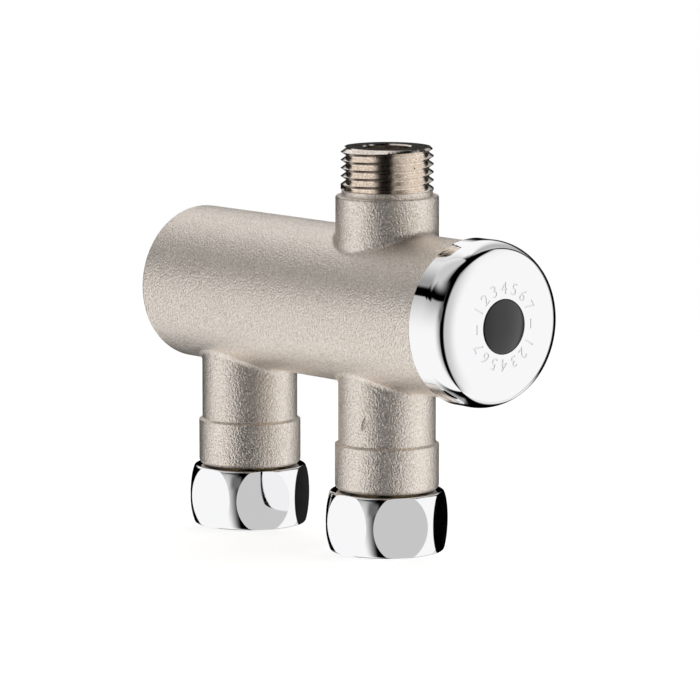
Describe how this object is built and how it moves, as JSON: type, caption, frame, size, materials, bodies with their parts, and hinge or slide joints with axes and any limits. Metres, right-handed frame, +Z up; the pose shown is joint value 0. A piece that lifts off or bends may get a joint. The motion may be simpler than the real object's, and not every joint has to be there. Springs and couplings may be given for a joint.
{
  "type": "thermostatic mixing valve",
  "caption": "Compact inline mixing valve: plated barrel body with a turning knob, a male threaded outlet on top and two union nut inlets below.",
  "frame": {"origin": "centre of the cold union nut's mouth, straight below the outlet", "axes": "+Z up out of the outlet, +Y along the barrel away from the knob, +X to the right seen from the knob's end"},
  "size_m": [0.0374, 0.1061, 0.0918],
  "materials": {
    "nickel_casting": "blasted and nickel plated casting",
    "chrome_plate": "polished chrome plate on brass",
    "black_plug": "gloss",
    "bare_brass": "turned",
    "element_copper": "drawn copper",
    "stainless": "bright stainless",
    "valve_plastic": "moulded",
    "gasket_fibre": "pressed fibre",
    "seal_rubber": "moulded"
  },
  "bodies": {
    "valve": {"valve_body": "nickel_casting", "bonnet": "bare_brass", "bonnet_oring": "seal_rubber", "return_spring": "stainless", "hot_seat": "bare_brass", "cartridge_sleeve": "bare_brass", "sleeve_front_oring": "seal_rubber", "sleeve_rear_oring": "seal_rubber", "cold_tail_piece": "bare_brass", "cold_tail_oring": "seal_rubber", "cold_gasket": "gasket_fibre", "cold_strainer": "stainless", "cold_check_housing": "valve_plastic", "cold_check_spring": "stainless", "hot_tail_piece": "bare_brass", "hot_tail_oring": "seal_rubber", "hot_gasket": "gasket_fibre", "hot_strainer": "stainless", "hot_check_housing": "valve_plastic", "hot_check_spring": "stainless"},
    "knob": {"control_knob": "chrome_plate", "knob_plug": "black_plug", "knob_screw": "stainless", "adjusting_spindle": "bare_brass", "spindle_oring": "seal_rubber", "spindle_circlip": "stainless"},
    "regulator": {"regulating_nut": "bare_brass", "overload_spring": "stainless", "overload_cap": "bare_brass", "cap_snap_ring": "stainless", "element_piston": "stainless"},
    "sensor_slide": {"wax_element": "element_copper", "shuttle": "bare_brass", "shuttle_oring": "seal_rubber"},
    "cold_nut": {"cold_union_nut": "chrome_plate"},
    "cold_poppet_lift": {"cold_check_poppet": "valve_plastic", "cold_poppet_seal": "seal_rubber"},
    "hot_nut": {"hot_union_nut": "chrome_plate"},
    "hot_poppet_lift": {"hot_check_poppet": "valve_plastic", "hot_poppet_seal": "seal_rubber"}
  },
  "joints": [
    {"name": "knob_turn", "type": "hinge", "parent": "valve", "child": "knob", "pos_m": [0, 0, 0.055], "axis": [0, -1, 0], "range_deg": [-150, 150]},
    {"name": "regulator_travel", "type": "slide", "parent": "valve", "child": "regulator", "axis": [0, -1, 0], "range_m": [-0.00075, 0.00075]},
    {"name": "sensor_travel", "type": "slide", "parent": "regulator", "child": "sensor_slide", "axis": [0, 1, 0], "range_m": [0, 0.0008], "stiffness_N_per_m": 3000, "springref_m": -0.002, "deforming": ["return_spring"]},
    {"name": "cold_nut_spin", "type": "hinge", "parent": "valve", "child": "cold_nut", "pos_m": [0, 0, 0], "axis": [0, 0, 1], "continuous": true},
    {"name": "cold_poppet_travel", "type": "slide", "parent": "valve", "child": "cold_poppet_lift", "axis": [0, 0, 1], "range_m": [0, 0.002], "stiffness_N_per_m": 100, "springref_m": -0.003, "deforming": ["cold_check_spring"]},
    {"name": "hot_nut_spin", "type": "hinge", "parent": "valve", "child": "hot_nut", "pos_m": [0, 0.0485, 0], "axis": [0, 0, 1], "continuous": true},
    {"name": "hot_poppet_travel", "type": "slide", "parent": "valve", "child": "hot_poppet_lift", "axis": [0, 0, 1], "range_m": [0, 0.002], "stiffness_N_per_m": 100, "springref_m": -0.003, "deforming": ["hot_check_spring"]}
  ],
  "couplings": [
    {"joint": "regulator_travel", "follows": "knob_turn", "m_per_rad": 0.0002864}
  ]
}
